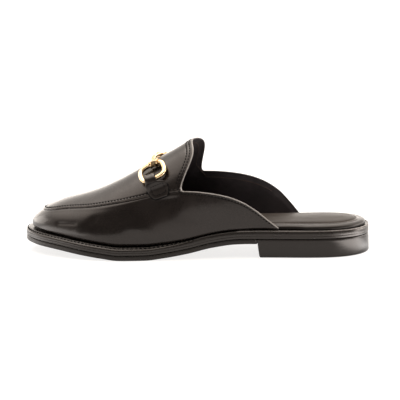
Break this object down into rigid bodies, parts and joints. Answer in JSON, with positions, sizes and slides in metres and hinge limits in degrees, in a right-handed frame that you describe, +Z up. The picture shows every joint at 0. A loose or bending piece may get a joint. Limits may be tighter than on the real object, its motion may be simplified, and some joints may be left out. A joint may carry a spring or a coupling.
{
  "type": "flat mule",
  "caption": "Slip-on leather mule with an open back, a raised apron seam, a standing tongue, a metal bit trim, a stitched welt and a low stacked heel.",
  "frame": {"origin": "on the ground, at the centre of the sole outline's box", "axes": "+X points to the toe, +Y to the shoe's left, which is the outer side of this left shoe, +Z up"},
  "size_m": [0.266, 0.0928, 0.0862],
  "materials": {
    "upper_leather": "black box calf, glossy",
    "strap_leather": "black box calf, glossy",
    "insole_leather": "black leather, satin, rolled edge",
    "sock_leather": "black leather, satin",
    "welt_leather": "black dyed edge, waxed",
    "outsole_rubber": "black, matt",
    "heel_stack": "black stacked board, polished",
    "trim_metal": "pale gold plating, polished"
  },
  "bodies": {
    "root": {"welt": "welt_leather", "outsole": "outsole_rubber", "heel": "heel_stack", "insole": "insole_leather", "sock": "sock_leather", "upper": "upper_leather", "strap_tab_lateral": "strap_leather", "strap_tab_medial": "strap_leather", "bit_ring_lateral": "trim_metal", "bit_ring_medial": "trim_metal", "bit_bar": "trim_metal"}
  },
  "joints": []
}
